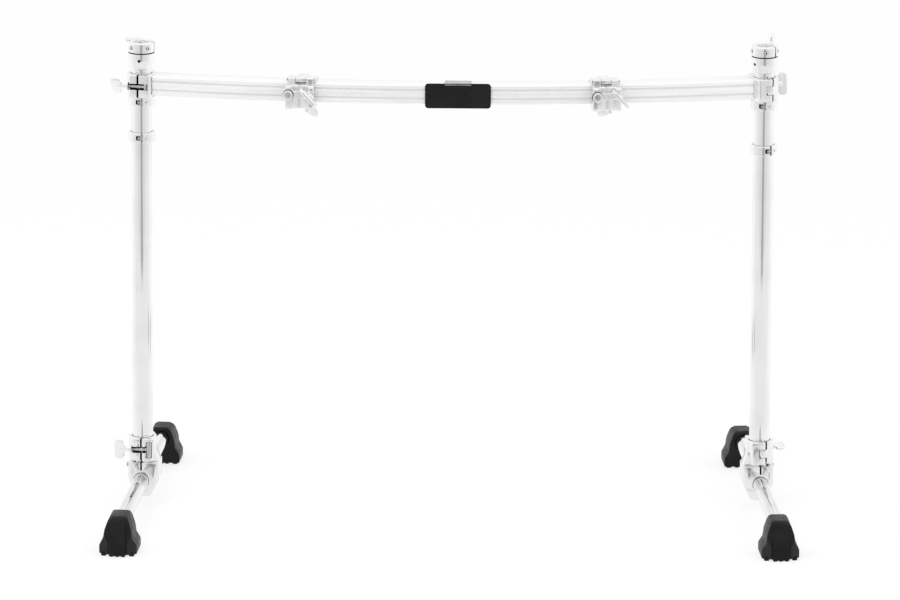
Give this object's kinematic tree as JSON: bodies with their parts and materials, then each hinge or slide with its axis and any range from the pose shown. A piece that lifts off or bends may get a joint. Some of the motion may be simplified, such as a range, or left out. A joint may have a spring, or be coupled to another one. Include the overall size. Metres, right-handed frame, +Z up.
{
  "type": "drum rack frame",
  "caption": "Free-standing drum rack frame: a curved rail held between two round posts on tee legs, with split clamps, stop locks, rubber feet and pipe clamps.",
  "frame": {"origin": "on the floor, midway between the two posts and midway between the front and back feet, 15.9 mm in front of the post axes", "axes": "+X from the left post to the right post, +Y to the back, +Z up; the rail bows to -Y"},
  "size_m": [1.2718, 0.72, 0.8875],
  "materials": {
    "chrome": "bright chrome plate",
    "rail": "satin, drawn along its length",
    "steel": "bright plated fasteners",
    "rubber": "moulded, matt",
    "badge": "black enamel, left bare"
  },
  "bodies": {
    "rail": {"rail": "rail", "badge_plate": "badge", "left_rail_clamp_body": "chrome", "left_rail_clamp_hinge_pin": "steel", "right_rail_clamp_body": "chrome", "right_rail_clamp_hinge_pin": "steel"},
    "left_stand": {"left_post": "chrome", "left_top_cup": "chrome", "left_top_ring": "chrome"},
    "left_base": {"left_base_casting": "chrome", "left_base_hinge_pin": "steel", "left_leg_bolt": "steel"},
    "left_leg": {"left_leg_tube": "chrome", "left_front_foot": "rubber", "left_back_foot": "rubber"},
    "left_upper_lock": {"left_upper_lock": "chrome", "left_upper_lock_bolt": "steel"},
    "left_lower_lock": {"left_lower_lock": "chrome", "left_lower_lock_bolt": "steel"},
    "left_top_wing": {"left_top_wing_bolt": "chrome"},
    "left_rail_gate": {"left_rail_clamp_gate": "chrome"},
    "left_rail_bolt": {"left_rail_clamp_swing_bolt": "steel"},
    "left_rail_nut": {"left_rail_clamp_wing_nut": "chrome"},
    "left_base_gate": {"left_base_gate": "chrome"},
    "left_base_bolt": {"left_base_swing_bolt": "steel"},
    "left_base_nut": {"left_base_wing_nut": "chrome"},
    "right_stand": {"right_post": "chrome", "right_top_cup": "chrome", "right_top_ring": "chrome"},
    "right_base": {"right_base_casting": "chrome", "right_base_hinge_pin": "steel", "right_leg_bolt": "steel"},
    "right_leg": {"right_leg_tube": "chrome", "right_front_foot": "rubber", "right_back_foot": "rubber"},
    "right_upper_lock": {"right_upper_lock": "chrome", "right_upper_lock_bolt": "steel"},
    "right_lower_lock": {"right_lower_lock": "chrome", "right_lower_lock_bolt": "steel"},
    "right_top_wing": {"right_top_wing_bolt": "chrome"},
    "right_rail_gate": {"right_rail_clamp_gate": "chrome"},
    "right_rail_bolt": {"right_rail_clamp_swing_bolt": "steel"},
    "right_rail_nut": {"right_rail_clamp_wing_nut": "chrome"},
    "right_base_gate": {"right_base_gate": "chrome"},
    "right_base_bolt": {"right_base_swing_bolt": "steel"},
    "right_base_nut": {"right_base_wing_nut": "chrome"},
    "clamp_1": {"pipe_clamp_1_body": "chrome", "pipe_clamp_1_hook_pin": "steel", "pipe_clamp_1_strap_pin": "steel"},
    "clamp_1_hook": {"pipe_clamp_1_hook": "chrome"},
    "clamp_1_strap": {"pipe_clamp_1_strap": "chrome"},
    "clamp_1_jaw_bolt": {"pipe_clamp_1_jaw_bolt": "chrome"},
    "clamp_1_rail_screw": {"pipe_clamp_1_rail_screw": "chrome"},
    "clamp_2": {"pipe_clamp_2_body": "chrome", "pipe_clamp_2_hook_pin": "steel", "pipe_clamp_2_strap_pin": "steel"},
    "clamp_2_hook": {"pipe_clamp_2_hook": "chrome"},
    "clamp_2_strap": {"pipe_clamp_2_strap": "chrome"},
    "clamp_2_jaw_bolt": {"pipe_clamp_2_jaw_bolt": "chrome"},
    "clamp_2_rail_screw": {"pipe_clamp_2_rail_screw": "chrome"}
  },
  "joints": [
    {"name": "left_stand_slide", "type": "slide", "parent": "rail", "child": "left_stand", "axis": [0, 0, 1], "range_m": [-0.0065, 0.29]},
    {"name": "left_upper_lock_slide", "type": "slide", "parent": "rail", "child": "left_upper_lock", "axis": [0, 0, 1], "range_m": [-0.02, 0]},
    {"name": "left_lower_lock_slide", "type": "slide", "parent": "rail", "child": "left_lower_lock", "axis": [0, 0, 1], "range_m": [-0.25, 0.028]},
    {"name": "left_base_swivel", "type": "hinge", "parent": "left_stand", "child": "left_base", "pos_m": [-0.57, 0.01594, 0.11], "axis": [0, 0, 1], "continuous": true},
    {"name": "left_leg_slide", "type": "slide", "parent": "left_base", "child": "left_leg", "axis": [-0.0849, -0.9964, 0], "range_m": [-0.265, 0.235]},
    {"name": "left_top_wing_turn", "type": "hinge", "parent": "left_stand", "child": "left_top_wing", "pos_m": [-0.57788, 0.05516, 0.8655], "axis": [-0.1971, 0.9804, 0], "continuous": true},
    {"name": "left_rail_gate_hinge", "type": "hinge", "parent": "rail", "child": "left_rail_gate", "pos_m": [-0.56678, 0.04136, 0.796], "axis": [0, 0, -1], "range_deg": [0, 14.7]},
    {"name": "left_rail_bolt_swing", "type": "hinge", "parent": "rail", "child": "left_rail_bolt", "pos_m": [-0.56114, -0.01274, 0.796], "axis": [0, 0, 1], "range_deg": [0, 98]},
    {"name": "left_rail_nut_turn", "type": "hinge", "parent": "left_rail_bolt", "child": "left_rail_nut", "pos_m": [-0.60502, -0.00276, 0.796], "axis": [-0.9751, 0.2218, 0], "continuous": true},
    {"name": "left_base_gate_hinge", "type": "hinge", "parent": "left_base", "child": "left_base_gate", "pos_m": [-0.57033, 0.04156, 0.109], "axis": [0, 0, -1], "range_deg": [0, 14.7]},
    {"name": "left_base_bolt_swing", "type": "hinge", "parent": "left_base", "child": "left_base_bolt", "pos_m": [-0.55726, -0.01124, 0.109], "axis": [0, 0, 1], "range_deg": [0, 98]},
    {"name": "left_base_nut_turn", "type": "hinge", "parent": "left_base_bolt", "child": "left_base_nut", "pos_m": [-0.6021, -0.00742, 0.109], "axis": [-0.9964, 0.0849, 0], "continuous": true},
    {"name": "right_stand_slide", "type": "slide", "parent": "rail", "child": "right_stand", "axis": [0, 0, 1], "range_m": [-0.0065, 0.29]},
    {"name": "right_upper_lock_slide", "type": "slide", "parent": "rail", "child": "right_upper_lock", "axis": [0, 0, 1], "range_m": [-0.02, 0]},
    {"name": "right_lower_lock_slide", "type": "slide", "parent": "rail", "child": "right_lower_lock", "axis": [0, 0, 1], "range_m": [-0.235, 0.045]},
    {"name": "right_base_swivel", "type": "hinge", "parent": "right_stand", "child": "right_base", "pos_m": [0.57, 0.01594, 0.11], "axis": [0, 0, 1], "continuous": true},
    {"name": "right_leg_slide", "type": "slide", "parent": "right_base", "child": "right_leg", "axis": [0.0849, -0.9964, 0], "range_m": [-0.265, 0.235]},
    {"name": "right_top_wing_turn", "type": "hinge", "parent": "right_stand", "child": "right_top_wing", "pos_m": [0.5815, 0.05425, 0.8655], "axis": [0.2875, 0.9578, 0], "continuous": true},
    {"name": "right_rail_gate_hinge", "type": "hinge", "parent": "rail", "child": "right_rail_gate", "pos_m": [0.57809, -0.00837, 0.796], "axis": [0, 0, -1], "range_deg": [0, 14.7]},
    {"name": "right_rail_bolt_swing", "type": "hinge", "parent": "rail", "child": "right_rail_bolt", "pos_m": [0.54961, 0.03797, 0.796], "axis": [0, 0, 1], "range_deg": [0, 98]},
    {"name": "right_rail_nut_turn", "type": "hinge", "parent": "right_rail_bolt", "child": "right_rail_nut", "pos_m": [0.59349, 0.04795, 0.796], "axis": [0.9751, 0.2218, 0], "continuous": true},
    {"name": "right_base_gate_hinge", "type": "hinge", "parent": "right_base", "child": "right_base_gate", "pos_m": [0.57466, -0.00926, 0.109], "axis": [0, 0, -1], "range_deg": [0, 14.7]},
    {"name": "right_base_bolt_swing", "type": "hinge", "parent": "right_base", "child": "right_base_bolt", "pos_m": [0.55285, 0.04057, 0.109], "axis": [0, 0, 1], "range_deg": [0, 98]},
    {"name": "right_base_nut_turn", "type": "hinge", "parent": "right_base_bolt", "child": "right_base_nut", "pos_m": [0.59768, 0.04439, 0.109], "axis": [0.9964, 0.0849, 0], "continuous": true},
    {"name": "clamp_1_rail_slide", "type": "hinge", "parent": "rail", "child": "clamp_1", "pos_m": [0, 2.52222, 0.797], "axis": [0, 0, 1], "range_deg": [-5.2, 4.2]},
    {"name": "clamp_1_hook_hinge", "type": "hinge", "parent": "clamp_1", "child": "clamp_1_hook", "pos_m": [-0.2764, -0.05584, 0.8216], "axis": [0.9943, -0.1066, 0], "range_deg": [0, 110]},
    {"name": "clamp_1_strap_hinge", "type": "hinge", "parent": "clamp_1", "child": "clamp_1_strap", "pos_m": [-0.29844, -0.08309, 0.8], "axis": [0.1066, 0.9943, 0], "range_deg": [-100, 0]},
    {"name": "clamp_1_jaw_bolt_turn", "type": "hinge", "parent": "clamp_1", "child": "clamp_1_jaw_bolt", "pos_m": [-0.2592, -0.09233, 0.8], "axis": [0.1066, 0.9943, 0], "continuous": true},
    {"name": "clamp_1_rail_screw_turn", "type": "hinge", "parent": "clamp_1", "child": "clamp_1_rail_screw", "pos_m": [-0.26544, -0.04273, 0.767], "axis": [0, 0, 1], "continuous": true},
    {"name": "clamp_2_rail_slide", "type": "hinge", "parent": "rail", "child": "clamp_2", "pos_m": [0, 2.52222, 0.797], "axis": [0, 0, 1], "range_deg": [-3.85, 5.15]},
    {"name": "clamp_2_hook_hinge", "type": "hinge", "parent": "clamp_2", "child": "clamp_2_hook", "pos_m": [0.27943, -0.05551, 0.8216], "axis": [0.9942, 0.1078, 0], "range_deg": [0, 110]},
    {"name": "clamp_2_strap_hinge", "type": "hinge", "parent": "clamp_2", "child": "clamp_2_strap", "pos_m": [0.26371, -0.08683, 0.8], "axis": [-0.1078, 0.9942, 0], "range_deg": [-100, 0]},
    {"name": "clamp_2_jaw_bolt_turn", "type": "hinge", "parent": "clamp_2", "child": "clamp_2_jaw_bolt", "pos_m": [0.30402, -0.0875, 0.8], "axis": [-0.1078, 0.9942, 0], "continuous": true},
    {"name": "clamp_2_rail_screw_turn", "type": "hinge", "parent": "clamp_2", "child": "clamp_2_rail_screw", "pos_m": [0.28734, -0.04037, 0.767], "axis": [0, 0, 1], "continuous": true}
  ],
  "couplings": [
    {"joint": "right_stand_slide", "follows": "left_stand_slide", "ratio": 1},
    {"joint": "left_rail_gate_hinge", "follows": "left_rail_bolt_swing", "ratio": 0.15},
    {"joint": "left_base_gate_hinge", "follows": "left_base_bolt_swing", "ratio": 0.15},
    {"joint": "right_rail_gate_hinge", "follows": "right_rail_bolt_swing", "ratio": 0.15},
    {"joint": "right_base_gate_hinge", "follows": "right_base_bolt_swing", "ratio": 0.15}
  ]
}
